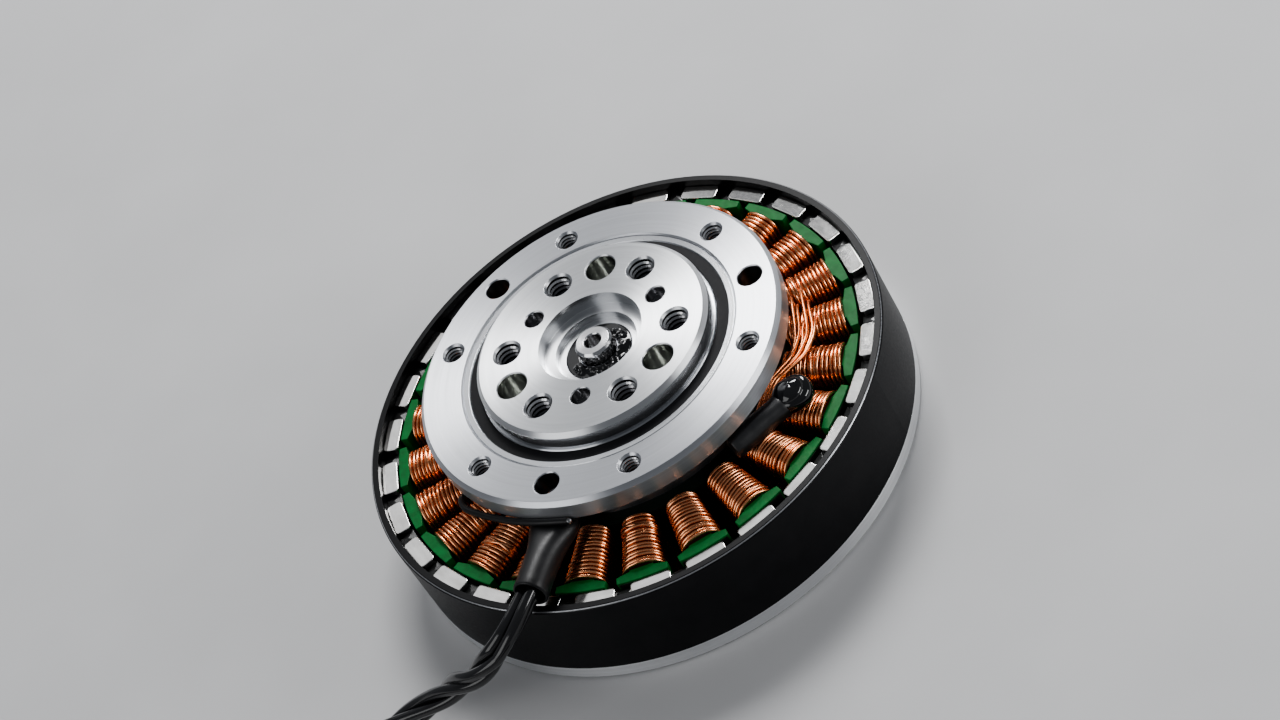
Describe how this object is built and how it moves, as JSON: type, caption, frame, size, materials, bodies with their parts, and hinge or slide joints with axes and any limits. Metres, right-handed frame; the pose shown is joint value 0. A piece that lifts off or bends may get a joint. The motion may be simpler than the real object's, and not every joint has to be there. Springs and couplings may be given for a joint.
{
  "type": "robot joint actuator",
  "caption": "Flat outrunner motor with open copper coils, a planetary gearbox inside its stator, a round output flange with threaded holes, and a black twisted lead.",
  "frame": {"origin": "on the axis, in the plane of the rotor's rear face, which is the lowest face", "axes": "+Z along the common axis of the motor and the output flange, out of the output face; the lead leaves towards -Y"},
  "size_m": [0.0705, 0.1237, 0.0234],
  "materials": {
    "bare_aluminium": "fine turned, satin",
    "output_alloy": "blasted, satin",
    "gear_steel": "ground and oiled",
    "bearing_steel": "ground, bright",
    "screw_steel": "black oxide",
    "laminations": "stamped sheets",
    "green_coating": "glossy powder coating",
    "enamelled_copper": "enamelled winding wire",
    "seal_black": "moulded, satin",
    "sleeve_black": "shrunk tubing, satin",
    "wire_black": "smooth wire jacket",
    "resin": "hardened drop, glossy",
    "connector_black": "moulded, fine grain",
    "contact_gold": "gold plated",
    "rotor_black": "black anodised, satin",
    "magnet_nickel": "nickel plated",
    "bush_bronze": "sintered, oiled"
  },
  "bodies": {
    "stator": {"stator_housing": "bare_aluminium", "ring_gear": "gear_steel", "stator_core": "laminations", "stator_insulation": "green_coating", "coils_phase_u": "enamelled_copper", "coils_phase_v": "enamelled_copper", "coils_phase_w": "enamelled_copper", "output_bearing_outer_ring": "bearing_steel", "output_bearing_seals": "seal_black", "rotor_bearing_outer_ring": "bearing_steel", "rotor_bearing_seals": "seal_black", "lead_sleeve": "sleeve_black", "sensor_wire": "wire_black", "star_joint_sleeve": "sleeve_black", "star_joint_epoxy": "resin", "star_joint_wires": "enamelled_copper", "lead_bundle": "wire_black", "lead_connector": "connector_black", "connector_contacts": "contact_gold"},
    "rotor": {"rotor_ring": "rotor_black", "rotor_magnets": "magnet_nickel", "rear_cover": "bare_aluminium", "rotor_hub": "bare_aluminium", "hub_screws": "screw_steel", "encoder_magnet": "magnet_nickel", "sun_gear": "gear_steel", "rotor_bearing_inner_ring": "bearing_steel", "tip_bearing_inner_ring": "bearing_steel"},
    "output": {"output_flange": "output_alloy", "output_bearing_inner_ring": "bearing_steel", "tip_bearing_outer_ring": "bearing_steel", "tip_bearing_seals": "seal_black", "carrier_plate": "output_alloy", "carrier_screws": "screw_steel", "planet_pins": "bearing_steel"},
    "planet_1": {"planet_gear_1": "gear_steel", "planet_bush_1": "bush_bronze"},
    "planet_2": {"planet_gear_2": "gear_steel", "planet_bush_2": "bush_bronze"},
    "planet_3": {"planet_gear_3": "gear_steel", "planet_bush_3": "bush_bronze"}
  },
  "joints": [
    {"name": "rotor_spin", "type": "hinge", "parent": "stator", "child": "rotor", "pos_m": [0, 0, 0.0057], "axis": [0, 0, 1], "continuous": true},
    {"name": "output_spin", "type": "hinge", "parent": "stator", "child": "output", "pos_m": [0, 0, 0.019], "axis": [0, 0, 1], "continuous": true},
    {"name": "planet_1_spin", "type": "hinge", "parent": "output", "child": "planet_1", "pos_m": [0.00725, 0.0063, 0.0124], "axis": [0, 0, 1], "continuous": true},
    {"name": "planet_2_spin", "type": "hinge", "parent": "output", "child": "planet_2", "pos_m": [-0.00908, 0.00313, 0.0124], "axis": [0, 0, 1], "continuous": true},
    {"name": "planet_3_spin", "type": "hinge", "parent": "output", "child": "planet_3", "pos_m": [0.00183, -0.00942, 0.0124], "axis": [0, 0, 1], "continuous": true}
  ],
  "couplings": [
    {"joint": "output_spin", "follows": "rotor_spin", "ratio": 0.16667},
    {"joint": "planet_1_spin", "follows": "rotor_spin", "ratio": -0.41667},
    {"joint": "planet_2_spin", "follows": "rotor_spin", "ratio": -0.41667},
    {"joint": "planet_3_spin", "follows": "rotor_spin", "ratio": -0.41667}
  ]
}
